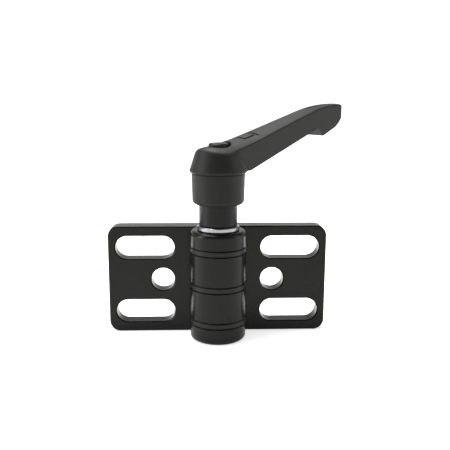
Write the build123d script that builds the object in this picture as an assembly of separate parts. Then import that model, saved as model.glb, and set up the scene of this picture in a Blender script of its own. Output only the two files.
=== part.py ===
from build123d import *

import math
import os

# Locking pivot joint for 40 mm slotted aluminium profile.  Two flat wings carry interleaved
# knuckles on one upright axis.  A stud runs down through the barrel into a captive nut, and the
# clamping lever on top squeezes knuckles and friction rings together to lock the angle.
#
# Frame: +Z along the pivot axis, +Y out of the wings' mounting faces, +X towards the right wing.
# The origin is the centre of the mounting faces with the joint laid flat.  Millimetres.

# ---- driving dimensions: wings and barrel ---------------------------------------------------
WING_LENGTH = 40.0  # pivot axis to the wing's outer edge
WING_HEIGHT = 40.0
WING_THICKNESS = 6.0
WING_CORNER = 4.0
WING_EDGE = 0.7  # rounding of the front rim
PLATE_GAP = 0.5  # between the two plates behind the barrel

HOLE_OFFSET = 20.0  # pivot axis to the first screw position
HOLE_DIAMETER = 8.5
SLOT_WIDTH = 8.5
SLOT_END_WALL = 2.75  # slot's end to the wing's outer edge
SLOT_SIDE_WALL = 3.75  # slot's side to the wing's upper or lower edge
HOLE_EDGE = 0.4  # bevel round screw holes and slots

AXIS_OFFSET = 12.0  # pivot axis in front of the mounting faces
BARREL_DIAMETER = 20.0
BARREL_END_RADIUS = 1.6  # rounding of the barrel's two ends
BARREL_EDGE = 0.3  # bevel where knuckles and rings meet
ROOT_FILLET = 1.2  # knuckle to plate
POCKET_CLEARANCE = 0.5  # round the other wing's knuckles
RING_THICKNESS = 2.0
END_KNUCKLE = 6.0  # height of the top and bottom knuckles

# ---- driving dimensions: clamping stack -----------------------------------------------------
STUD_DIAMETER = 8.0
STUD_TIP = 0.8  # bevel on the stud's end
STUD_GRIP = 7.0  # length held in the insert
RUNNING = 0.05  # radial clearance of a running fit
BOND_GAP = 0.02  # radial clearance of a bonded or screwed-in end
NUT_FLATS = 13.0
NUT_HEIGHT = 4.0
NUT_EDGE = 0.5
NUT_CLEARANCE = 0.1  # nut to its pocket
NUT_SINK = 0.2  # nut face inside the barrel's end

WASHER_DIAMETER = 15.0
WASHER_THICKNESS = 1.6
WASHER_BORE = 8.4
WASHER_EDGE = 0.3

INSERT_DIAMETER = 13.6
INSERT_SHOWN = 7.7  # left bare under the lever's hub
INSERT_COVERED = 2.6  # plain length inside the hub
INSERT_EDGE = 0.4
TOOTH_COUNT = 24
TOOTH_DEPTH = 0.7
TOOTH_LENGTH = 3.2
TOOTH_LAND = 0.24  # tip and root flats, share of a tooth pitch
TOOTH_CLEARANCE = 0.08
TOOTH_TIP_DROP = 0.15  # tooth tips inside the insert's plain surface

# ---- driving dimensions: clamping lever -----------------------------------------------------
CAP_DIAMETER = 20.1  # upper hub at its widest
CAP_OVERHANG = 0.675  # upper hub's radius beyond the lower hub's, at the seam
HUB_TAPER = 0.25  # radius lost towards the hub's foot
HUB_END_RADIUS = 1.5
SEAM_RISE = 10.9  # foot of the hub to the seam
SEAM_WIDTH = 0.3
SEAM_DEPTH = 0.25
CAP_SHOULDER = 1.1  # height of the widest point above the seam
CAP_EDGE = 0.8  # rounding under the widest point
CAP_LEAN = 18.0  # degrees, draft of the upper hub's wall
CAP_TOP_RADIUS = 2.6

LEVER_AZIMUTH = 41.0  # degrees from +X, about the pivot axis
LEVER_REACH = 65.85  # pivot axis to the lever's tip
HUB_TOP = 30.0  # barrel's end to the top of the hub, on the pivot axis
HUB_SLOPE = 8.0  # degrees, top of the hub
ARM_SLOPE = 14.6  # degrees, top of the arm
ARM_BEND_START = -2.0  # pivot axis to where the top steepens
ARM_BEND_RADIUS = 150.0
ARM_LEVELLING = 21  # length over which the top levels out towards the tip
ARM_TOP_RADIUS = 68
CROWN_MARGIN = 3.8  # radius of the top's crown beyond the upper hub's
ARM_SHOULDER = 2.6  # upper hub's radius beyond the arm's half width at the pivot axis
TIP_HALF_WIDTH = 3.2
TIP_CORNER = 2.2  # seen from above
ARM_EDGE = 0.6
ARM_ROOT_FILLET = 2.0
ARM_START = 1.6  # pivot axis to the arm's end inside the hub
TRIM = 0.02  # outline that rounds the arm's tip, outside its sides

UNDER_INSET = 2.65  # underside's line at the seam's height, inside the upper hub's radius
UNDER_RISE = 0.6  # flat root of the underside above the seam
STEP_TO_TIP = 24.1  # start of the finger step, back from the tip
STEP_DEPTH = 8.56  # upright depth of the arm where the step starts
CREST_TO_TIP = 16.8
STEP_SLOPE = 16.8  # degrees
STEP_WALL = 3.06  # length of the step's wall along the arm
STEP_DROP = 3.03  # height of the step's wall
STEP_RADIUS = 0.8
KNOB_SLOPE = 20.7  # degrees, underside beyond the step
NOSE_SLOPE = 44.0  # degrees
NOSE_BREAK = 4.37  # knob underside's end and nose's end, back from the tip
NOSE_END = 1.0
NOSE_LOW_RADIUS = 9.8
NOSE_RADIUS = 4.6
NOSE_TOP_RADIUS = 2.8

DISH_TO_TIP = 6.2
DISH_LENGTH = 15.0
DISH_HALF_WIDTH = 2.4
DISH_DEPTH = 0.6
LABEL_START = 9.4  # pivot axis to the recess
LABEL_LENGTH = 6.7
LABEL_WIDTH = 8.4
LABEL_DEPTH = 0.35
PAD_MARGIN = 1.0  # recess floor left round the pad, along the arm
PAD_WIDTH = 4.8

RECESS_DIAMETER = 9.0
SHOULDER_THICKNESS = 2.9  # web between the insert and the spring
SCREW_TOP = 0.45  # screw head above the hub's top, on the axis
SCREW_HEAD_DIAMETER = 7.0
SCREW_HEAD_HEIGHT = 3.0
SCREW_HEAD_EDGE = 0.4
SCREW_NECK = 5.0  # plain neck inside the spring
SCREW_THREAD = 4.0
SCREW_DEPTH = 5.0
SCREW_PLAY = 0.25  # neck to the web
SOCKET_FLATS = 3.0
SOCKET_DEPTH = 1.8
SPRING_WIRE = 0.6
SPRING_DIAMETER = 6.8
SPRING_TURNS = 5.0

# ---- levels and derived sizes ---------------------------------------------------------------
TOP = WING_HEIGHT / 2
BOTTOM = -WING_HEIGHT / 2
BARREL_RADIUS = BARREL_DIAMETER / 2
BORE_RADIUS = STUD_DIAMETER / 2 + RUNNING
INNER_KNUCKLE = (WING_HEIGHT - 2 * END_KNUCKLE - 3 * RING_THICKNESS) / 2
END_RING = TOP - END_KNUCKLE  # outer face of the first ring
MIDDLE_RING = RING_THICKNESS / 2

SLOT_TRAVEL = WING_LENGTH - SLOT_END_WALL - SLOT_WIDTH / 2 - HOLE_OFFSET
SLOT_ROW = TOP - SLOT_SIDE_WALL - SLOT_WIDTH / 2

INSERT_FOOT = TOP + WASHER_THICKNESS
HUB_FOOT = INSERT_FOOT + INSERT_SHOWN
TOOTH_FOOT = HUB_FOOT + INSERT_COVERED
INSERT_TOP = TOOTH_FOOT + TOOTH_LENGTH
TOOTH_TIP = INSERT_DIAMETER / 2 - TOOTH_TIP_DROP
TOOTH_ROOT = TOOTH_TIP - TOOTH_DEPTH
SHOULDER_TOP = INSERT_TOP + SHOULDER_THICKNESS
SEAM = HUB_FOOT + SEAM_RISE
HUB_CROWN = TOP + HUB_TOP
HEAD_TOP = HUB_CROWN + SCREW_TOP
HEAD_FOOT = HEAD_TOP - SCREW_HEAD_HEIGHT

HUB_RADIUS = CAP_DIAMETER / 2 - CAP_OVERHANG
CROWN_RADIUS = CAP_DIAMETER / 2 + CROWN_MARGIN
UNDER_START = CAP_DIAMETER / 2 - UNDER_INSET
ROOT_HALF_WIDTH = CAP_DIAMETER / 2 - ARM_SHOULDER
ARM_STRAIGHT_END = LEVER_REACH - ARM_LEVELLING
STEP_START = LEVER_REACH - STEP_TO_TIP
STEP_CREST = LEVER_REACH - CREST_TO_TIP
DISH_END = LEVER_REACH - DISH_TO_TIP

AXIS = Location((0, -AXIS_OFFSET, 0))
LEVER = Location((0, -AXIS_OFFSET, 0), (0, 0, LEVER_AZIMUTH))


def rise(degrees):
    """Height gained per millimetre along a slope."""
    return math.tan(math.radians(degrees))


def turned(points):
    """Solid of revolution about the local Z axis from (radius, z) corners."""
    outline = Polyline([(r, 0, z) for r, z in points], close=True)
    return revolve(make_face(outline), Axis.Z)


def cylinder(radius, low, high):
    """Upright cylinder on the local Z axis between two levels."""
    up = (Align.CENTER, Align.CENTER, Align.MIN)
    return Pos(0, 0, low) * Cylinder(radius, high - low, align=up)


def bevelled(radius, low, high, low_edge, high_edge):
    """Upright cylinder with bevelled ends."""
    return turned(
        [
            (0, low),
            (radius - low_edge, low),
            (radius, low + low_edge),
            (radius, high - high_edge),
            (radius - high_edge, high),
            (0, high),
        ]
    )


# ---- wings ----------------------------------------------------------------------------------
def plate():
    """Right-hand plate, with rounded outer corners, two slots and one round hole."""
    inner = PLATE_GAP / 2
    sheet = Pos((inner + WING_LENGTH) / 2, 0) * Rectangle(WING_LENGTH - inner, WING_HEIGHT)
    sheet = fillet(sheet.vertices().group_by(Axis.X)[-1], WING_CORNER)
    body = extrude(Plane.XZ * sheet, WING_THICKNESS)
    front = body.faces().sort_by(Axis.Y)[0]
    rim = front.edges().filter_by(lambda edge: edge.center().X > inner + WING_EDGE)
    body = fillet(rim, WING_EDGE)
    openings = Pos(HOLE_OFFSET, 0) * Circle(HOLE_DIAMETER / 2)
    for side in (1, -1):
        centre = Pos(HOLE_OFFSET + SLOT_TRAVEL / 2, side * SLOT_ROW)
        openings += centre * SlotOverall(SLOT_TRAVEL + SLOT_WIDTH, SLOT_WIDTH)
    body -= extrude(Plane.XZ * openings, WING_THICKNESS)
    flats = body.faces().filter_by(Axis.Y).sort_by(Axis.Y)
    loops = [wire for flat in (flats[0], flats[-1]) for wire in flat.inner_wires()]
    return chamfer([edge for loop in loops for edge in loop.edges()], HOLE_EDGE)


def knuckle(low, high):
    """One knuckle, rounded where it ends the barrel and bevelled where it meets a ring."""
    solid = cylinder(BARREL_RADIUS, low, high)
    foot, head = solid.edges().filter_by(GeomType.CIRCLE).sort_by(Axis.Z)
    solid = chamfer(head, BARREL_EDGE)
    foot = solid.edges().filter_by(GeomType.CIRCLE).sort_by(Axis.Z)[0]
    if low > BOTTOM:
        return chamfer(foot, BARREL_EDGE)
    return fillet(foot, BARREL_END_RADIUS)


def gusset(low, high):
    """Fill between a knuckle and the plate's front, with a concave round on its outside."""
    stand = AXIS_OFFSET - WING_THICKNESS - ROOT_FILLET
    reach = math.sqrt((BARREL_RADIUS + ROOT_FILLET) ** 2 - stand**2)
    shrink = BARREL_RADIUS / (BARREL_RADIUS + ROOT_FILLET)
    pivot = Vector(0, -AXIS_OFFSET)
    centre = Vector(reach, -WING_THICKNESS - ROOT_FILLET)
    on_barrel = pivot + (centre - pivot) * shrink
    on_plate = Vector(reach, -WING_THICKNESS)
    inward = (on_barrel + on_plate) / 2 - centre
    hollow = ThreePointArc(on_plate, centre + inward.normalized() * ROOT_FILLET, on_barrel)
    inside = Polyline(on_barrel, pivot, (0, -WING_THICKNESS / 2), (reach, -WING_THICKNESS / 2), on_plate)
    return Pos(0, 0, low) * extrude(make_face(inside + hollow), high - low)


def casting():
    """Wing with two of the four knuckles, hollowed where the other wing's knuckles turn."""
    body = plate()
    hollows = [(-END_RING, MIDDLE_RING), (END_RING - RING_THICKNESS, TOP)]
    for low, high in hollows:
        body -= AXIS * cylinder(BARREL_RADIUS + POCKET_CLEARANCE, low, high)
    inner = (MIDDLE_RING, END_RING - RING_THICKNESS)
    end = (BOTTOM, -END_RING)
    for low, high in (inner, end):
        body += gusset(max(low, BOTTOM + WING_EDGE), high)
        body += AXIS * knuckle(low, high)
    return body - AXIS * cylinder(BORE_RADIUS, BOTTOM, TOP)


def nut_pocket():
    """Hexagonal pocket in the underside of the lowest knuckle."""
    corner = (NUT_FLATS / 2 + NUT_CLEARANCE) / math.cos(math.pi / 6)
    return AXIS * Pos(0, 0, BOTTOM) * extrude(RegularPolygon(corner, 6), NUT_HEIGHT + NUT_SINK)


def friction_ring(low):
    """Plain ring between two knuckles."""
    high = low + RING_THICKNESS
    ring = bevelled(BARREL_RADIUS, low, high, BARREL_EDGE, BARREL_EDGE)
    return AXIS * (ring - cylinder(BORE_RADIUS, low, high))


# ---- clamping stack -------------------------------------------------------------------------
def clamp_nut():
    """Thin hexagon nut held in the lowest knuckle."""
    foot = BOTTOM + NUT_SINK
    corner = NUT_FLATS / 2 / math.cos(math.pi / 6)
    nut = Pos(0, 0, foot) * extrude(RegularPolygon(corner, 6), NUT_HEIGHT)
    nut &= bevelled(corner, foot, foot + NUT_HEIGHT, NUT_EDGE, NUT_EDGE)
    return AXIS * (nut - cylinder(BORE_RADIUS, foot, foot + NUT_HEIGHT))


def clamp_stud():
    """Threaded rod from the nut up into the lever's insert, drawn at its outside diameter."""
    foot = BOTTOM + NUT_SINK
    return AXIS * bevelled(STUD_DIAMETER / 2, foot, INSERT_FOOT + STUD_GRIP, STUD_TIP, STUD_TIP)


def thrust_washer():
    """Washer between the top knuckle and the lever's steel insert."""
    washer = bevelled(WASHER_DIAMETER / 2, TOP, INSERT_FOOT, WASHER_EDGE, WASHER_EDGE)
    return AXIS * (washer - cylinder(WASHER_BORE / 2, TOP, INSERT_FOOT))


def serration(clearance):
    """Toothed outline shared by the insert's crown and the lever's bore."""
    pitch = 2 * math.pi / TOOTH_COUNT
    flat = pitch * TOOTH_LAND / 2
    corners = []
    for tooth in range(TOOTH_COUNT):
        middle = tooth * pitch
        for radius, angle in (
            (TOOTH_TIP, middle - flat),
            (TOOTH_TIP, middle + flat),
            (TOOTH_ROOT, middle + pitch / 2 - flat),
            (TOOTH_ROOT, middle + pitch / 2 + flat),
        ):
            reach = radius + clearance
            corners.append((reach * math.cos(angle), reach * math.sin(angle)))
    return make_face(Polyline(corners, close=True))


def lever_insert():
    """Steel insert: plain boss, with a serrated crown inside the hub."""
    boss = bevelled(INSERT_DIAMETER / 2, INSERT_FOOT, TOOTH_FOOT, INSERT_EDGE, INSERT_EDGE)
    crown = Pos(0, 0, TOOTH_FOOT) * extrude(serration(0), TOOTH_LENGTH)
    body = boss + crown
    body -= cylinder(STUD_DIAMETER / 2 + BOND_GAP, INSERT_FOOT, INSERT_FOOT + STUD_GRIP)
    body -= cylinder(SCREW_THREAD / 2 + BOND_GAP, INSERT_TOP - SCREW_DEPTH, INSERT_TOP)
    return LEVER * body


def lever_screw():
    """Shouldered screw that holds the lever down on the insert through the spring."""
    head = cylinder(SCREW_HEAD_DIAMETER / 2, HEAD_FOOT, HEAD_TOP)
    head = chamfer(head.edges().filter_by(GeomType.CIRCLE).sort_by(Axis.Z)[-1], SCREW_HEAD_EDGE)
    head -= Pos(0, 0, HEAD_TOP - SOCKET_DEPTH) * extrude(
        RegularPolygon(SOCKET_FLATS / 2 / math.cos(math.pi / 6), 6), SOCKET_DEPTH
    )
    neck = cylinder(SCREW_NECK / 2, INSERT_TOP, HEAD_FOOT)
    return LEVER * (head + neck + cylinder(SCREW_THREAD / 2, INSERT_TOP - SCREW_DEPTH, INSERT_TOP))


def lever_spring():
    """Compression spring between the lever's web and the screw head."""
    low = SHOULDER_TOP + SPRING_WIRE / 2
    height = HEAD_FOOT - SPRING_WIRE / 2 - low
    radius = (SPRING_DIAMETER - SPRING_WIRE) / 2
    coil = Pos(0, 0, low) * Helix(height / SPRING_TURNS, height, radius)
    section = Plane(origin=coil @ 0, z_dir=coil % 0) * Circle(SPRING_WIRE / 2)
    return LEVER * sweep(section, coil)


# ---- clamping lever -------------------------------------------------------------------------
def top_line():
    """Top of the lever from behind the hub to the tip, on its upright middle plane."""
    back = -CAP_DIAMETER
    hub_end = (ARM_BEND_START, HUB_CROWN + ARM_BEND_START * rise(HUB_SLOPE))
    hub = Line((back, HUB_CROWN + back * rise(HUB_SLOPE)), hub_end)
    bend = JernArc(hub @ 1, hub % 1, ARM_BEND_RADIUS, ARM_SLOPE - HUB_SLOPE)
    run = ARM_STRAIGHT_END - (bend @ 1).X
    arm = Line(bend @ 1, (ARM_STRAIGHT_END, (bend @ 1).Y + run * rise(ARM_SLOPE)))
    sine = math.sin(math.radians(ARM_SLOPE)) - ARM_LEVELLING / ARM_TOP_RADIUS
    tip = JernArc(arm @ 1, arm % 1, ARM_TOP_RADIUS, math.degrees(math.asin(sine)) - ARM_SLOPE)
    return Wire((Plane.XZ * (hub + bend + arm + tip)).edges())


def crowned(place):
    """Section under the lever's crowned top, placed square to the top line."""
    half = CAP_DIAMETER / 2 + CAP_SHOULDER
    drop = CROWN_RADIUS - math.sqrt(CROWN_RADIUS**2 - half**2)
    depth = 2 * CAP_DIAMETER
    arc = ThreePointArc((-half, -drop), (0, 0), (half, -drop))
    sides = Polyline((half, -drop), (half, -depth), (-half, -depth), (-half, -drop))
    return place * make_face(arc + sides)


def under_top():
    """Everything below the crowned top surface that runs from the hub to the tip."""
    path = top_line()
    return sweep(crowned(Plane(origin=path @ 0, x_dir=(0, 1, 0), z_dir=path % 0)), path)


def top_point(distance):
    """Point of the top line at a distance from the pivot axis."""
    path = top_line()
    low, high = 0.0, 1.0
    while high - low > 1e-6:
        share = (low + high) / 2
        if (path @ share).X < distance:
            low = share
        else:
            high = share
    return path @ low


def arm_side():
    """Arm seen from the side: sloping underside, finger step and rounded knob."""
    tip = top_line() @ 1
    lean = top_line() % 1
    step_height = top_point(STEP_START).Z - STEP_DEPTH
    under_rise = (step_height - SEAM) / (STEP_START - UNDER_START)
    crest_height = step_height + (STEP_CREST - STEP_START) * rise(STEP_SLOPE)
    knob = (STEP_CREST + STEP_WALL, crest_height - STEP_DROP)
    nose = LEVER_REACH - NOSE_BREAK
    nose_height = knob[1] + (nose - knob[0]) * rise(KNOB_SLOPE)
    nose_end = (LEVER_REACH - NOSE_END, nose_height + (NOSE_BREAK - NOSE_END) * rise(NOSE_SLOPE))
    over = tip.Z - (tip.X - STEP_START) * lean.Z / lean.X
    corners = [
        ((0, SEAM + UNDER_RISE), 0),
        ((UNDER_START + UNDER_RISE / under_rise, SEAM + UNDER_RISE), 0),
        ((STEP_START, step_height), 0),
        ((STEP_CREST, crest_height), STEP_RADIUS),
        (knob, STEP_RADIUS),
        ((nose, nose_height), NOSE_LOW_RADIUS),
        (nose_end, NOSE_RADIUS),
        ((tip.X, tip.Z), NOSE_TOP_RADIUS),
        ((STEP_START, over), 0),
        ((0, over), 0),
    ]
    points = [point for point, radius in corners]
    radii = [radius for point, radius in corners]
    return Plane.XZ * make_face(FilletPolyline(*points, radius=radii, close=True))


def bar():
    """Bar with the arm's tapered sides and crowned top, longer than the arm, its top edges eased."""
    taper = (ROOT_HALF_WIDTH - TIP_HALF_WIDTH) / LEVER_REACH
    back = -2 * CAP_DIAMETER
    front = LEVER_REACH + TIP_HALF_WIDTH
    wide = ROOT_HALF_WIDTH - back * taper
    narrow = ROOT_HALF_WIDTH - front * taper
    plan = Polyline((back, -wide), (front, -narrow), (front, narrow), (back, wide), close=True)
    body = Pos(0, 0, SEAM) * extrude(make_face(plan), LEVER_REACH) & under_top()
    rim = []
    for face in body.faces().filter_by(lambda face: face.normal_at().Z > abs(face.normal_at().X)):
        spans = [(edge, edge @ 1 - edge @ 0) for edge in face.edges()]
        rim += [edge for edge, span in spans if abs(span.X) > abs(span.Y)]
    return fillet(rim, ARM_EDGE)


def arm():
    """Tapered arm from inside the hub to the rounded tip."""
    wide = CAP_DIAMETER / 2
    tip = TIP_HALF_WIDTH + TRIM
    outline = Polyline(
        (ARM_START, -wide), (LEVER_REACH, -tip), (LEVER_REACH, tip), (ARM_START, wide), close=True
    )
    plan = make_face(outline)
    plan = fillet(plan.vertices().group_by(Axis.X)[-1], TIP_CORNER)
    side = extrude(arm_side(), CAP_DIAMETER, both=True)
    return bar() & side & Pos(0, 0, SEAM) * extrude(plan, LEVER_REACH)


def hub():
    """Hub of the lever: tapered skirt, seam groove, and leaning cap with a rounded, sloping top."""
    foot = HUB_RADIUS - HUB_TAPER
    wide = CAP_DIAMETER / 2
    widest = SEAM + CAP_SHOULDER
    above = HUB_CROWN + SCREW_HEAD_HEIGHT
    skirt = turned([(0, HUB_FOOT), (foot, HUB_FOOT), (HUB_RADIUS, SEAM), (0, SEAM)])
    skirt = fillet(skirt.edges().filter_by(GeomType.CIRCLE).sort_by(Axis.Z)[0], HUB_END_RADIUS)
    brim = wide + CAP_SHOULDER * rise(CAP_LEAN)
    peak = wide - (above - widest) * rise(CAP_LEAN)
    outline = FilletPolyline((0, SEAM), (brim, SEAM), (peak, above), radius=CAP_EDGE)
    outline += Polyline((peak, above), (0, above), (0, SEAM))
    cap = revolve(Plane.XZ * make_face(outline), Axis.Z)
    slope = math.radians(HUB_SLOPE)
    back = (-CAP_DIAMETER, 0, HUB_CROWN - CAP_DIAMETER * rise(HUB_SLOPE))
    along = Plane(origin=back, x_dir=(0, 1, 0), z_dir=(math.cos(slope), 0, math.sin(slope)))
    cap &= extrude(crowned(along), 2 * CAP_DIAMETER)
    rim = [edge for edge in cap.edges() if edge.geom_type == GeomType.BSPLINE]
    cap = fillet(rim, CAP_TOP_RADIUS)
    groove = cylinder(CAP_DIAMETER, SEAM - SEAM_WIDTH, SEAM)
    groove -= cylinder(HUB_RADIUS - SEAM_DEPTH, SEAM - SEAM_WIDTH, SEAM)
    return skirt + cap - groove


def dish():
    """Spindle that scoops the thumb dish out of the top of the knob."""
    start = top_point(DISH_END - DISH_LENGTH)
    chord = top_point(DISH_END) - start
    half = chord.length / 2
    belly = (DISH_HALF_WIDTH**2 + DISH_DEPTH**2) / (2 * DISH_DEPTH)
    bow = (half**2 + DISH_DEPTH**2) / (2 * DISH_DEPTH)
    reach = half + DISH_HALF_WIDTH
    end = belly - bow + math.sqrt(bow**2 - reach**2)
    outline = ThreePointArc((-reach, end), (0, belly), (reach, end))
    outline += Polyline((reach, end), (reach, 0), (-reach, 0), (-reach, end))
    lean = math.degrees(math.atan2(chord.Z, chord.X))
    lift = Pos(0, 0, belly - DISH_DEPTH)
    return Pos(start + chord / 2) * Rot(0, -lean, 0) * lift * revolve(make_face(outline), Axis.X)


def label_recess():
    """Shallow recess following the top of the arm, with a plain pad left standing in it."""
    outline = Rectangle(LABEL_LENGTH, LABEL_WIDTH)
    outline -= Rectangle(LABEL_LENGTH - 2 * PAD_MARGIN, PAD_WIDTH)
    middle = top_point(LABEL_START + LABEL_LENGTH / 2)
    block = Pos(middle) * extrude(outline, LABEL_WIDTH, both=True)
    return block - Pos(0, 0, -LABEL_DEPTH) * under_top()


def hub_bore():
    """Inside of the hub: plain mouth, teeth, lift clearance, web hole and screw recess."""
    mouth = INSERT_DIAMETER / 2 + RUNNING
    teeth = Pos(0, 0, TOOTH_FOOT) * extrude(serration(TOOTH_CLEARANCE), TOOTH_LENGTH)
    return (
        cylinder(mouth, HUB_FOOT, TOOTH_FOOT)
        + teeth
        + cylinder(SCREW_NECK / 2 + SCREW_PLAY, INSERT_TOP, SHOULDER_TOP)
        + cylinder(RECESS_DIAMETER / 2, SHOULDER_TOP, HEAD_TOP + WING_THICKNESS)
    )


def on_brim(point):
    """Whether a point lies beside the arm on the rounded underside of the hub's cap."""
    return abs(point.Y) > TIP_HALF_WIDTH and SEAM < point.Z < SEAM + 2 * CAP_EDGE


def lever_body():
    """Moulded handle: hub and arm with their joint filled, then the bore and the sunk details."""
    body = hub() + arm()
    walls = body.edges().filter_by(GeomType.HYPERBOLA)
    brims = [edge for edge in body.edges().filter_by(GeomType.BSPLINE) if on_brim(edge @ 0.5)]
    body = fillet(walls + brims, ARM_ROOT_FILLET)
    return LEVER * (body - hub_bore() - dish() - label_recess())


# ---- sub-parts ------------------------------------------------------------------------------
wing = casting()
parts = {
    "left_wing": Rot(0, 180, 0) * wing,
    "right_wing": wing - nut_pocket(),
    "upper_friction_ring": friction_ring(END_RING - RING_THICKNESS),
    "middle_friction_ring": friction_ring(-MIDDLE_RING),
    "lower_friction_ring": friction_ring(-END_RING),
    "clamp_nut": clamp_nut(),
    "clamp_stud": clamp_stud(),
    "thrust_washer": thrust_washer(),
    "lever_insert": lever_insert(),
    "lever_body": lever_body(),
    "lever_spring": lever_spring(),
    "lever_screw": lever_screw(),
}

os.makedirs("parts", exist_ok=True)
for name, solid in parts.items():
    export_step(solid, f"parts/{name}.step")
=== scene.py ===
"""Looks of the locking pivot joint: two slotted wings on a knuckled barrel, clamped by a lever."""

import math

import bmesh
import bpy
from mathutils import Matrix, Vector


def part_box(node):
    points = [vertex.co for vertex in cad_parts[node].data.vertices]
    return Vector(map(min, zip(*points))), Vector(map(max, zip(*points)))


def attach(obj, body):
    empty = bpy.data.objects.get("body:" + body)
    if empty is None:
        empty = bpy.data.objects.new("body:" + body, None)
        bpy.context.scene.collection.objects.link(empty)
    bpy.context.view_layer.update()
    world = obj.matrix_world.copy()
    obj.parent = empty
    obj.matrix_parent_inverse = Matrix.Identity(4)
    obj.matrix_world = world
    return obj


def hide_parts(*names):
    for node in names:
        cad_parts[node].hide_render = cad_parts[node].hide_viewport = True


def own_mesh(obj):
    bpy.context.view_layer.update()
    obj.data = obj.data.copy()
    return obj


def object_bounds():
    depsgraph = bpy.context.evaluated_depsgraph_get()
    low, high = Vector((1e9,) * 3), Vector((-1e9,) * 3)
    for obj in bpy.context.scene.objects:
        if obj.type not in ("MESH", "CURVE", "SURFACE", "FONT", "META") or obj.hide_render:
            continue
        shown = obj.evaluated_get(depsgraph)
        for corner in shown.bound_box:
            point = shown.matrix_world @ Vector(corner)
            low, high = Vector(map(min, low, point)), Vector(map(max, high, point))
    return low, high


bl_info = {
    "name": "Pivot joint",
    "version": (1, 0, 0),
    "blender": (4, 5, 0),
    "location": "View3D > Sidebar > Pivot joint",
    "description": "Finishes the wings, clamping parts and lever of a locking pivot joint",
    "category": "Object",
}

MM = 0.001
WELD = 0.01 * MM
CAMERA_PLACE = (-7.104 * MM, -242.593 * MM, 69.356 * MM)
CAMERA_FORWARD = (0.04033, 0.97839, -0.20278)
CAMERA_RIGHT = (0.99918, -0.04026, 0.0045)
CAMERA_LENS = 53.27  # millimetres
CAMERA_SENSOR = 36.0  # millimetres
CAMERA_NEAR, CAMERA_FAR = 0.01, 20.0
SWEEP_RADIUS = 3.0
SWEEP_WALL = 1.15
SWEEP_STEPS = 8  # of the bend between floor and wall
SWEEP_SIDES = 64
PAPER_GLOW = 0.6  # of the paper round the joint
PAPER_SHADED, PAPER_WHITE = 0.1, 0.4  # shares of the radius between which the glow rises to 1
MIRROR_WHITE, MIRROR_DIM = 0.5, 0.75  # heights between which the wall dims in reflections
MIRROR_GLOW = 0.15  # of the dimmed wall
ROOM_GREY = 0.4
LAMPS = (  # name, place from the joint's middle, width, height, watts
    ("top_light", (-0.1, 0.15, 0.6), 0.5, 0.4, 8.0),
    ("back_light", (0.0, 0.6, 0.35), 0.8, 0.25, 0.25),
    ("left_strip", (-0.5, -0.1, 0.1), 0.15, 0.6, 2.4),
    ("right_strip", (0.5, -0.08, 0.1), 0.15, 0.6, 0.9),
)
THREAD_DEPTH = 0.62  # of the pitch
STUD_SIDES = 36
COIL_STEPS = 40  # along each turn
WIRE_SIDES = 14

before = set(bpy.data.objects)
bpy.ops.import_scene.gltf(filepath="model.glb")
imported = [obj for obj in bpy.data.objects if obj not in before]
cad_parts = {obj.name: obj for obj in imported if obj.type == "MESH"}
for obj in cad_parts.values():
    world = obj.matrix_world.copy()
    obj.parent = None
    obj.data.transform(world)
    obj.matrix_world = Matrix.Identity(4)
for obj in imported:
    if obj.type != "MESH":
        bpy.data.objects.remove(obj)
CAD_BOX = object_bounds()


# ---- helpers --------------------------------------------------------------------------------
def linear(hex_colour):
    """Linear RGBA of an sRGB hex colour such as #1c1c1b."""
    channels = []
    for start in (1, 3, 5):
        value = int(hex_colour[start : start + 2], 16) / 255
        channels.append(value / 12.92 if value <= 0.04045 else ((value + 0.055) / 1.055) ** 2.4)
    return (*channels, 1.0)


def add_node(tree, kind, settings=None, inputs=None):
    """Adds a node, sets its properties, and sets or links its inputs."""
    node = tree.nodes.new(kind)
    for name, value in (settings or {}).items():
        setattr(node, name, value)
    for key, value in (inputs or {}).items():
        if isinstance(value, bpy.types.NodeSocket):
            tree.links.new(value, node.inputs[key])
        else:
            node.inputs[key].default_value = value
    return node


def new_material(name):
    """Empty material with its shader and output, as (material, tree, shader)."""
    material = bpy.data.materials.new(name)
    material.use_nodes = True
    tree = material.node_tree
    tree.nodes.clear()
    shader = add_node(tree, "ShaderNodeBsdfPrincipled")
    add_node(tree, "ShaderNodeOutputMaterial", inputs={"Surface": shader.outputs["BSDF"]})
    return material, tree, shader


def object_pattern(tree, scale_mm, kind="ShaderNodeTexNoise", settings=None, inputs=None):
    """A 0 to 1 pattern in Object coordinates, with features about scale_mm across.

    The bands of a wave repeat every 0.31 of scale_mm.
    """
    place = add_node(tree, "ShaderNodeTexCoord")
    values = {"Vector": place.outputs["Object"], "Scale": 1 / (scale_mm * MM)}
    values.update(inputs or {})
    return add_node(tree, kind, settings, values).outputs["Fac"]


def vary(tree, shader, pattern, roughness=None, colours=None):
    """Lets a 0 to 1 pattern run a finish between two roughnesses and two linear colours."""
    if roughness:
        dull = add_node(
            tree,
            "ShaderNodeMapRange",
            inputs={"Value": pattern, "To Min": roughness[0], "To Max": roughness[1]},
        )
        tree.links.new(dull.outputs["Result"], shader.inputs["Roughness"])
    if colours:
        tint = add_node(
            tree,
            "ShaderNodeMix",
            {"data_type": "RGBA"},
            {"Factor": pattern, "A": colours[0], "B": colours[1]},
        )
        tree.links.new(tint.outputs["Result"], shader.inputs["Base Color"])


def shade(colour, factor):
    """A linear colour made lighter or darker."""
    return (*(min(1.0, channel * factor) for channel in colour[:3]), 1.0)


def paint(node_names, material):
    """Gives CAD nodes one finish."""
    for name in node_names:
        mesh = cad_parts[name].data
        mesh.materials.clear()
        mesh.materials.append(material)


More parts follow.
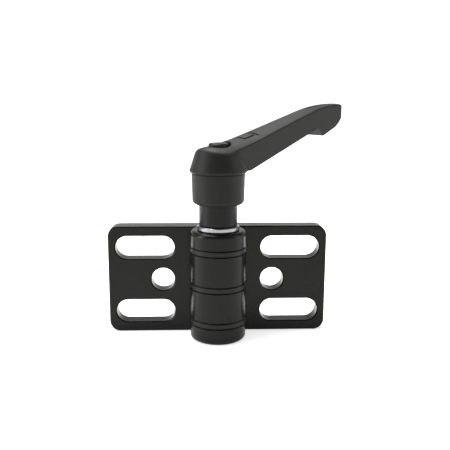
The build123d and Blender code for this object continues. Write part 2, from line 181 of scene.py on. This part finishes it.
def turned_mesh(name, profile, sides):
    """Mesh turned about the Z axis from (radius, height) corners, closed where the radius is 0."""
    shape = bmesh.new()
    corners = [shape.verts.new((reach, 0.0, height)) for reach, height in profile]
    lines = [shape.edges.new(pair) for pair in zip(corners, corners[1:])]
    bmesh.ops.spin(
        shape, geom=corners + lines, axis=(0, 0, 1), cent=(0, 0, 0), angle=2 * math.pi, steps=sides
    )
    bmesh.ops.remove_doubles(shape, verts=shape.verts, dist=WELD)
    bmesh.ops.recalc_face_normals(shape, faces=shape.faces)
    mesh = bpy.data.meshes.new(name)
    shape.to_mesh(mesh)
    shape.free()
    return mesh


# ---- finishes -------------------------------------------------------------------------------
def wing_powder_coat(colour, dullness):
    """Black powder coat on die-cast zinc: a faint orange peel softens the streaks it mirrors."""
    material, tree, shader = new_material("powder_coated_zinc_casting")
    shader.inputs["Base Color"].default_value = colour
    shader.inputs["IOR"].default_value = 1.45
    shader.inputs["Specular IOR Level"].default_value = 0.18
    shader.inputs["Specular Tint"].default_value = (0.98, 1.0, 0.9, 1.0)
    # peel about 0.9 mm across, as on real powder coat
    peel = object_pattern(tree, 0.9, inputs={"Detail": 2.0, "Roughness": 0.5})
    vary(tree, shader, peel, (dullness - 0.04, dullness + 0.04))
    bump = add_node(
        tree,
        "ShaderNodeBump",
        inputs={"Strength": 0.12, "Distance": 0.02 * MM, "Height": peel},
    )
    tree.links.new(bump.outputs["Normal"], shader.inputs["Normal"])
    return material


def ring_plastic(colour):
    """Glass-filled nylon ring, turned: greyer and duller than the coat beside it, faintly lined."""
    material, tree, shader = new_material("turned_nylon_ring")
    # lines about 0.3 mm apart, drawn coarser than a real turned face
    lines = object_pattern(
        tree,
        1.0,
        "ShaderNodeTexWave",
        {"bands_direction": "Z"},
        {"Distortion": 0.6, "Detail": 1.0},
    )
    vary(tree, shader, lines, (0.34, 0.42), (shade(colour, 0.9), shade(colour, 1.1)))
    shader.inputs["IOR"].default_value = 1.5
    shader.inputs["Specular IOR Level"].default_value = 0.2
    return material


def zinc_plate(colour):
    """Bright zinc-plated steel: pale blue-white metal with soft blotches from the bath."""
    material, tree, shader = new_material("bright_zinc_plated_steel")
    shader.inputs["Metallic"].default_value = 1.0
    # blotches about 1.5 mm across, as plating leaves them
    cloud = object_pattern(tree, 1.5, inputs={"Detail": 3.0})
    vary(tree, shader, cloud, (0.22, 0.34), (shade(colour, 0.9), colour))
    return material


def black_oxide(colour):
    """Blackened steel, turned and oiled: dark metal with a soft satin sheen."""
    material, tree, shader = new_material("black_oxide_turned_steel")
    shader.inputs["Metallic"].default_value = 0.3
    shader.inputs["Specular IOR Level"].default_value = 0.2
    # patches of oil about 0.8 mm across
    cloud = object_pattern(tree, 0.8, inputs={"Detail": 2.0})
    vary(tree, shader, cloud, (0.32, 0.42), (shade(colour, 0.85), colour))
    return material


def lever_moulding(colour, dullness):
    """Glass-filled nylon moulded in a spark-eroded tool: matt dark grey with a fine even grain."""
    material, tree, shader = new_material("glass_filled_nylon_moulding")
    # grain about 0.35 mm across, drawn coarser than a real spark-eroded face
    grain = object_pattern(tree, 0.35, inputs={"Detail": 2.0, "Roughness": 0.6})
    vary(tree, shader, grain, colours=(shade(colour, 0.9), shade(colour, 1.1)))
    shader.inputs["Roughness"].default_value = dullness
    shader.inputs["IOR"].default_value = 1.5
    shader.inputs["Specular IOR Level"].default_value = 0.18
    shader.inputs["Specular Tint"].default_value = (1.0, 1.0, 0.92, 1.0)
    bump = add_node(
        tree,
        "ShaderNodeBump",
        inputs={"Strength": 0.25, "Distance": 0.03 * MM, "Height": grain},
    )
    tree.links.new(bump.outputs["Normal"], shader.inputs["Normal"])
    return material


def spring_wire(colour):
    """Drawn spring wire: bright grey steel with small dull streaks from the die."""
    material, tree, shader = new_material("drawn_spring_wire")
    shader.inputs["Metallic"].default_value = 1.0
    # streaks about 0.2 mm across, drawn coarser than real die marks
    streaks = object_pattern(tree, 0.2, inputs={"Detail": 2.0})
    vary(tree, shader, streaks, (0.24, 0.38), (shade(colour, 0.8), colour))
    return material


# ---- sizes and colours ----------------------------------------------------------------------
def colour_property(name, text, hex_colour):
    """A colour that a user can change."""
    return bpy.props.FloatVectorProperty(
        name=name,
        description=text,
        default=linear(hex_colour),
        subtype="COLOR",
        size=4,
        min=0.0,
        max=1.0,
    )


class PivotJointFinish(bpy.types.PropertyGroup):
    """Colours and roughnesses of the joint's finishes."""

    coat: colour_property("Wing coat", "Powder coat on wings and knuckles", "#0d0d0b")
    coat_dullness: bpy.props.FloatProperty(
        name="Coat roughness",
        description="Roughness of the powder coat",
        default=0.26,
        min=0.1,
        max=0.9,
    )
    ring: colour_property("Rings", "Friction rings between the knuckles", "#0d0d0c")
    zinc: colour_property("Zinc", "Zinc plate on washer and nut", "#8c8e90")
    oxide: colour_property("Black steel", "Black oxide on insert, stud and screw", "#131312")
    handle: colour_property("Handle", "Moulding of the clamping lever", "#151514")
    handle_dullness: bpy.props.FloatProperty(
        name="Handle roughness",
        description="Roughness of the moulding",
        default=0.5,
        min=0.1,
        max=0.9,
    )
    wire: colour_property("Spring wire", "Spring inside the lever", "#a7a9ab")


class PivotJointSizes(bpy.types.PropertyGroup):
    """Sizes of the thread and the spring, which are made here."""

    wire: bpy.props.FloatProperty(
        name="Wire diameter",
        description="Wire of the lever's spring",
        default=0.6 * MM,
        unit="LENGTH",
    )
    pitch: bpy.props.FloatProperty(
        name="Thread pitch",
        description="Thread of the clamping stud",
        default=1.25 * MM,
        unit="LENGTH",
    )
    turns: bpy.props.FloatProperty(
        name="Spring turns",
        description="Turns of the lever's spring",
        default=5.0,
        min=1.0,
    )


class JOINT_OT_wings(bpy.types.Operator):
    """Coat both wings and finish the friction rings between their knuckles"""

    bl_idname = "pivot_joint.wings"
    bl_label = "Wings and rings"

    def execute(self, context):
        finish = context.scene.pivot_joint_finish
        paint(
            ["left_wing", "right_wing"],
            wing_powder_coat(tuple(finish.coat), finish.coat_dullness),
        )
        rings = ["upper_friction_ring", "middle_friction_ring", "lower_friction_ring"]
        paint(rings, ring_plastic(tuple(finish.ring)))
        return {"FINISHED"}


class JOINT_OT_steel(bpy.types.Operator):
    """Finish the washer, nut, insert and retaining screw"""

    bl_idname = "pivot_joint.steel"
    bl_label = "Steel parts"

    def execute(self, context):
        finish = context.scene.pivot_joint_finish
        paint(["thrust_washer", "clamp_nut"], zinc_plate(tuple(finish.zinc)))
        paint(["lever_insert", "lever_screw"], black_oxide(tuple(finish.oxide)))
        return {"FINISHED"}


def coil_tree(material):
    """Geometry Nodes tree that winds a closed round wire into a helix standing on its base."""
    tree = bpy.data.node_groups.new("coil_spring", "GeometryNodeTree")
    face = tree.interface
    sizes = (
        ("Wire diameter", 0.6 * MM),
        ("Mean diameter", 6.2 * MM),
        ("Length", 8.0 * MM),
        ("Turns", 5.0),
    )
    for name, default in sizes:
        socket = face.new_socket(name, in_out="INPUT", socket_type="NodeSocketFloat")
        socket.default_value = default
    face.new_socket("Coil", in_out="OUTPUT", socket_type="NodeSocketGeometry")
    given = add_node(tree, "NodeGroupInput").outputs
    mean_radius = add_node(
        tree, "ShaderNodeMath", {"operation": "MULTIPLY"}, {0: given["Mean diameter"], 1: 0.5}
    ).outputs[0]
    wire_radius = add_node(
        tree, "ShaderNodeMath", {"operation": "MULTIPLY"}, {0: given["Wire diameter"], 1: 0.5}
    ).outputs[0]
    helix = add_node(
        tree,
        "GeometryNodeCurveSpiral",
        inputs={
            "Resolution": COIL_STEPS,
            "Rotations": given["Turns"],
            "Start Radius": mean_radius,
            "End Radius": mean_radius,
            "Height": given["Length"],
        },
    )
    section = add_node(
        tree,
        "GeometryNodeCurvePrimitiveCircle",
        inputs={"Resolution": WIRE_SIDES, "Radius": wire_radius},
    )
    wire = add_node(
        tree,
        "GeometryNodeCurveToMesh",
        inputs={
            "Curve": helix.outputs["Curve"],
            "Profile Curve": section.outputs["Curve"],
            "Fill Caps": True,
        },
    )
    smooth = add_node(tree, "GeometryNodeSetShadeSmooth", inputs={"Geometry": wire.outputs["Mesh"]})
    solid = add_node(
        tree, "GeometryNodeRealizeInstances", inputs={"Geometry": smooth.outputs["Geometry"]}
    )
    dressed = add_node(
        tree,
        "GeometryNodeSetMaterial",
        inputs={"Geometry": solid.outputs["Geometry"], "Material": material},
    )
    add_node(tree, "NodeGroupOutput", inputs={"Coil": dressed.outputs["Geometry"]})
    return tree


def mesh_from_tree(name, tree, values, place, start=None):
    """Plain mesh object made by a Geometry Nodes tree with the given inputs, moved to its place."""
    start = start or bpy.data.meshes.new(name + "_carrier")
    carrier = bpy.data.objects.new(name + "_carrier", start)
    bpy.context.scene.collection.objects.link(carrier)
    modifier = carrier.modifiers.new(name, "NODES")
    modifier.node_group = tree
    sockets = {
        item.name: item.identifier
        for item in tree.interface.items_tree
        if item.in_out == "INPUT"
    }
    for label, value in values.items():
        modifier[sockets[label]] = value
    bpy.context.view_layer.update()
    graph = bpy.context.evaluated_depsgraph_get()
    mesh = bpy.data.meshes.new_from_object(carrier.evaluated_get(graph))
    bpy.data.objects.remove(carrier)
    mesh.name = name
    mesh.transform(Matrix.Translation(place))
    piece = bpy.data.objects.new(name, mesh)
    bpy.context.scene.collection.objects.link(piece)
    if not mesh.polygons:
        raise RuntimeError(f"{name} came out of its tree with no faces")
    return piece


def thread_tree(material):
    """Geometry Nodes tree that winds a sharp ridge round a turned core to make a screw thread."""
    tree = bpy.data.node_groups.new("screw_thread", "GeometryNodeTree")
    face = tree.interface
    face.new_socket("Core", in_out="INPUT", socket_type="NodeSocketGeometry")
    sizes = (
        ("Diameter", 8.0 * MM),
        ("Pitch", 1.25 * MM),
        ("Start", 0.0),
        ("Length", 40.0 * MM),
    )
    for name, default in sizes:
        socket = face.new_socket(name, in_out="INPUT", socket_type="NodeSocketFloat")
        socket.default_value = default
    face.new_socket("Rod", in_out="OUTPUT", socket_type="NodeSocketGeometry")
    given = add_node(tree, "NodeGroupInput").outputs

    # a three-sided ridge whose foot is one pitch wide, with its crest at the outside diameter
    ridge_radius = add_node(
        tree, "ShaderNodeMath", {"operation": "DIVIDE"}, {0: given["Pitch"], 1: math.sqrt(3)}
    ).outputs[0]
    stud_radius = add_node(
        tree, "ShaderNodeMath", {"operation": "MULTIPLY"}, {0: given["Diameter"], 1: 0.5}
    ).outputs[0]
    radius = add_node(
        tree, "ShaderNodeMath", {"operation": "SUBTRACT"}, {0: stud_radius, 1: ridge_radius}
    ).outputs[0]
    turns = add_node(
        tree, "ShaderNodeMath", {"operation": "DIVIDE"}, {0: given["Length"], 1: given["Pitch"]}
    ).outputs[0]
    helix = add_node(
        tree,
        "GeometryNodeCurveSpiral",
        inputs={
            "Resolution": STUD_SIDES,
            "Rotations": turns,
            "Start Radius": radius,
            "End Radius": radius,
            "Height": given["Length"],
        },
    )
    upright = add_node(
        tree, "GeometryNodeSetCurveNormal", {"mode": "Z_UP"}, {"Curve": helix.outputs["Curve"]}
    )
    ridge = add_node(
        tree, "GeometryNodeCurvePrimitiveCircle", inputs={"Resolution": 3, "Radius": ridge_radius}
    )
    outward = add_node(
        tree,
        "GeometryNodeTransform",
        inputs={"Geometry": ridge.outputs["Curve"], "Rotation": (0, 0, math.pi)},
    )
    wound = add_node(
        tree,
        "GeometryNodeCurveToMesh",
        inputs={
            "Curve": upright.outputs["Curve"],
            "Profile Curve": outward.outputs["Geometry"],
            "Fill Caps": True,
        },
    )
    lift = add_node(tree, "ShaderNodeCombineXYZ", inputs={"Z": given["Start"]})
    raised = add_node(
        tree,
        "GeometryNodeTransform",
        inputs={"Geometry": wound.outputs["Mesh"], "Translation": lift.outputs["Vector"]},
    )
    both = add_node(tree, "GeometryNodeJoinGeometry")
    tree.links.new(given["Core"], both.inputs["Geometry"])
    tree.links.new(raised.outputs["Geometry"], both.inputs["Geometry"])
    solid = add_node(
        tree, "GeometryNodeRealizeInstances", inputs={"Geometry": both.outputs["Geometry"]}
    )
    dressed = add_node(
        tree,
        "GeometryNodeSetMaterial",
        inputs={"Geometry": solid.outputs["Geometry"], "Material": material},
    )
    add_node(tree, "NodeGroupOutput", inputs={"Rod": dressed.outputs["Geometry"]})
    return tree


class JOINT_OT_stud(bpy.types.Operator):
    """Cut the thread on the stud that runs from the nut up into the lever's insert"""

    bl_idname = "pivot_joint.stud"
    bl_label = "Clamping stud"

    def execute(self, context):
        sizes = context.scene.pivot_joint_sizes
        finish = context.scene.pivot_joint_finish
        low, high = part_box("clamp_stud")
        length, diameter = high.z - low.z, high.x - low.x
        core = diameter / 2 - THREAD_DEPTH * sizes.pitch
        lead = diameter / 2 - core
        profile = [
            (0, 0),
            (core - lead, 0),
            (core, lead),
            (core, length - lead),
            (core - lead, length),
            (0, length),
        ]
        blank = turned_mesh("clamp_stud_blank", profile, STUD_SIDES)
        values = {
            "Diameter": diameter,
            "Pitch": sizes.pitch,
            "Start": sizes.pitch,
            "Length": length - 2 * sizes.pitch,
        }
        foot = Vector(((low.x + high.x) / 2, (low.y + high.y) / 2, low.z))
        tree = thread_tree(black_oxide(tuple(finish.oxide)))
        rod = mesh_from_tree("clamp_stud_rod", tree, values, foot, blank)
        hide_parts("clamp_stud")
        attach(rod, "clamp")
        return {"FINISHED"}


class JOINT_OT_spring(bpy.types.Operator):
    """Wind the spring that holds the lever down on the insert's teeth"""

    bl_idname = "pivot_joint.spring"
    bl_label = "Lever spring"

    def execute(self, context):
        sizes = context.scene.pivot_joint_sizes
        finish = context.scene.pivot_joint_finish
        low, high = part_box("lever_spring")
        tree = coil_tree(spring_wire(tuple(finish.wire)))
        values = {
            "Wire diameter": sizes.wire,
            "Mean diameter": high.x - low.x - sizes.wire,
            "Length": high.z - low.z - sizes.wire,
            "Turns": sizes.turns,
        }
        foot = Vector(((low.x + high.x) / 2, (low.y + high.y) / 2, low.z + sizes.wire / 2))
        spring = mesh_from_tree("lever_spring_coil", tree, values, foot)
        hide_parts("lever_spring")
        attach(spring, "clamp")
        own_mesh(spring)
        return {"FINISHED"}


class JOINT_OT_lever(bpy.types.Operator):
    """Finish the moulded clamping lever"""

    bl_idname = "pivot_joint.lever"
    bl_label = "Clamping lever"

    def execute(self, context):
        finish = context.scene.pivot_joint_finish
        paint(["lever_body"], lever_moulding(tuple(finish.handle), finish.handle_dullness))
        return {"FINISHED"}


# ---- stage ----------------------------------------------------------------------------------
def softbox(name, place, target, width, height, power):
    """A rectangular soft light aimed at a point, sizes in metres and power in watts."""
    data = bpy.data.lights.new(name, "AREA")
    data.shape = "RECTANGLE"
    data.size = width
    data.size_y = height
    data.energy = power
    lamp = bpy.data.objects.new(name, data)
    bpy.context.scene.collection.objects.link(lamp)
    lamp.location = place
    lamp.visible_camera = False
    lamp.rotation_mode = "QUATERNION"
    lamp.rotation_quaternion = (Vector(target) - Vector(place)).to_track_quat("-Z", "Y")


def seen_share(tree, mirrored):
    """1 to the camera and the given share in reflections and through glass, otherwise 0."""
    path = add_node(tree, "ShaderNodeLightPath").outputs
    either = add_node(
        tree,
        "ShaderNodeMath",
        {"operation": "MAXIMUM"},
        {0: path["Is Glossy Ray"], 1: path["Is Transmission Ray"]},
    ).outputs[0]
    part = add_node(
        tree, "ShaderNodeMath", {"operation": "MULTIPLY"}, {0: either, 1: mirrored}
    ).outputs[0]
    return add_node(
        tree, "ShaderNodeMath", {"operation": "MAXIMUM"}, {0: path["Is Camera Ray"], 1: part}
    ).outputs[0]


def studio_sweep(level, radius, wall):
    """Round pale floor that turns up into a wall, so every side has the same background."""
    profile = [(0.0, level)]
    for step in range(SWEEP_STEPS + 1):
        angle = math.pi / 2 * step / SWEEP_STEPS
        run, rise = wall / 2 * (1 - math.sin(angle)), wall / 2 * (1 - math.cos(angle))
        profile.append((radius - run, level + rise))
    profile.append((radius, level + wall))
    mesh = turned_mesh("studio_sweep", profile, SWEEP_SIDES)
    mesh.polygons.foreach_set("use_smooth", [True] * len(mesh.polygons))
    sweep = bpy.data.objects.new("studio_sweep", mesh)
    bpy.context.scene.collection.objects.link(sweep)
    mesh.materials.append(white_paper(radius))


def white_paper(radius):
    """White paper: shaded where the joint stands, plain white further out, dim high in mirrors."""
    material = bpy.data.materials.new("white_paper_sweep")
    material.use_nodes = True
    tree = material.node_tree
    tree.nodes.clear()
    paper = add_node(tree, "ShaderNodeBsdfDiffuse", inputs={"Color": linear("#f2f2f2")})
    place = add_node(tree, "ShaderNodeTexCoord")
    reach = add_node(
        tree, "ShaderNodeVectorMath", {"operation": "LENGTH"}, {0: place.outputs["Object"]}
    ).outputs["Value"]
    glow = add_node(
        tree,
        "ShaderNodeMapRange",
        inputs={
            "Value": reach,
            "From Min": PAPER_SHADED * radius,
            "From Max": PAPER_WHITE * radius,
            "To Min": PAPER_GLOW,
            "To Max": 1.0,
        },
    ).outputs["Result"]
    height = add_node(
        tree, "ShaderNodeSeparateXYZ", inputs={"Vector": place.outputs["Object"]}
    ).outputs["Z"]
    fade = add_node(
        tree,
        "ShaderNodeMapRange",
        inputs={
            "Value": height,
            "From Min": MIRROR_WHITE,
            "From Max": MIRROR_DIM,
            "To Min": 1.0,
            "To Max": MIRROR_GLOW,
        },
    ).outputs["Result"]
    level = add_node(
        tree, "ShaderNodeMath", {"operation": "MULTIPLY"}, {0: seen_share(tree, fade), 1: glow}
    ).outputs[0]
    light = add_node(tree, "ShaderNodeEmission", inputs={"Color": (1, 1, 1, 1), "Strength": level})
    both = add_node(
        tree, "ShaderNodeAddShader", inputs={0: paper.outputs["BSDF"], 1: light.outputs["Emission"]}
    )
    add_node(tree, "ShaderNodeOutputMaterial", inputs={"Surface": both.outputs["Shader"]})
    return material


def studio_world(fill):
    """Plain grey room above the sweep."""
    world = bpy.data.worlds.new("studio")
    bpy.context.scene.world = world
    world.use_nodes = True
    tree = world.node_tree
    tree.nodes.clear()
    sky = add_node(tree, "ShaderNodeBackground", inputs={"Color": (1, 1, 1, 1), "Strength": fill})
    add_node(tree, "ShaderNodeOutputWorld", inputs={"Surface": sky.outputs["Background"]})


def aimed_camera(place, forward, right, lens):
    """Camera at a place, looking along forward, with its right side along right."""
    data = bpy.data.cameras.new("camera")
    data.lens = lens
    data.sensor_width = CAMERA_SENSOR
    data.clip_start = CAMERA_NEAR
    data.clip_end = CAMERA_FAR
    camera = bpy.data.objects.new("camera", data)
    bpy.context.scene.collection.objects.link(camera)
    back = -Vector(forward).normalized()
    side = Vector(right).normalized()
    up = back.cross(side)
    turn = Matrix((side, up, back)).transposed()
    camera.matrix_world = Matrix.Translation(Vector(place)) @ turn.to_4x4()
    bpy.context.scene.camera = camera


class JOINT_OT_stage(bpy.types.Operator):
    """Set up the floor, the soft lights and the camera"""

    bl_idname = "pivot_joint.stage"
    bl_label = "Studio stage"

    def execute(self, context):
        context.scene.view_settings.view_transform = "Standard"
        low, high = CAD_BOX
        studio_sweep(low.z, SWEEP_RADIUS, SWEEP_WALL)
        studio_world(ROOM_GREY)
        middle = (low + high) / 2
        for name, place, width, height, power in LAMPS:
            softbox(name, middle + Vector(place), middle, width, height, power)
        aimed_camera(CAMERA_PLACE, CAMERA_FORWARD, CAMERA_RIGHT, CAMERA_LENS)
        return {"FINISHED"}


class JOINT_PT_panel(bpy.types.Panel):
    """Lists the joint's sizes, finishes and steps"""

    bl_idname = "JOINT_PT_panel"
    bl_label = "Pivot joint"
    bl_space_type = "VIEW_3D"
    bl_region_type = "UI"
    bl_category = "Pivot joint"

    def draw(self, context):
        layout = self.layout
        for group in (context.scene.pivot_joint_sizes, context.scene.pivot_joint_finish):
            for name in group.bl_rna.properties.keys():
                if name not in ("rna_type", "name"):
                    layout.prop(group, name)
        for step in STEPS:
            layout.operator(step.bl_idname)


STEPS = (
    JOINT_OT_wings,
    JOINT_OT_steel,
    JOINT_OT_stud,
    JOINT_OT_spring,
    JOINT_OT_lever,
    JOINT_OT_stage,
)
CLASSES = (PivotJointSizes, PivotJointFinish, *STEPS, JOINT_PT_panel)


def register():
    for cls in CLASSES:
        bpy.utils.register_class(cls)
    bpy.types.Scene.pivot_joint_sizes = bpy.props.PointerProperty(type=PivotJointSizes)
    bpy.types.Scene.pivot_joint_finish = bpy.props.PointerProperty(type=PivotJointFinish)


def unregister():
    del bpy.types.Scene.pivot_joint_finish
    del bpy.types.Scene.pivot_joint_sizes
    for cls in reversed(CLASSES):
        bpy.utils.unregister_class(cls)


def main():
    register()
    bpy.ops.pivot_joint.wings()
    bpy.ops.pivot_joint.steel()
    bpy.ops.pivot_joint.stud()
    bpy.ops.pivot_joint.spring()
    bpy.ops.pivot_joint.lever()
    bpy.ops.pivot_joint.stage()


if __name__ == "__main__":
    main()
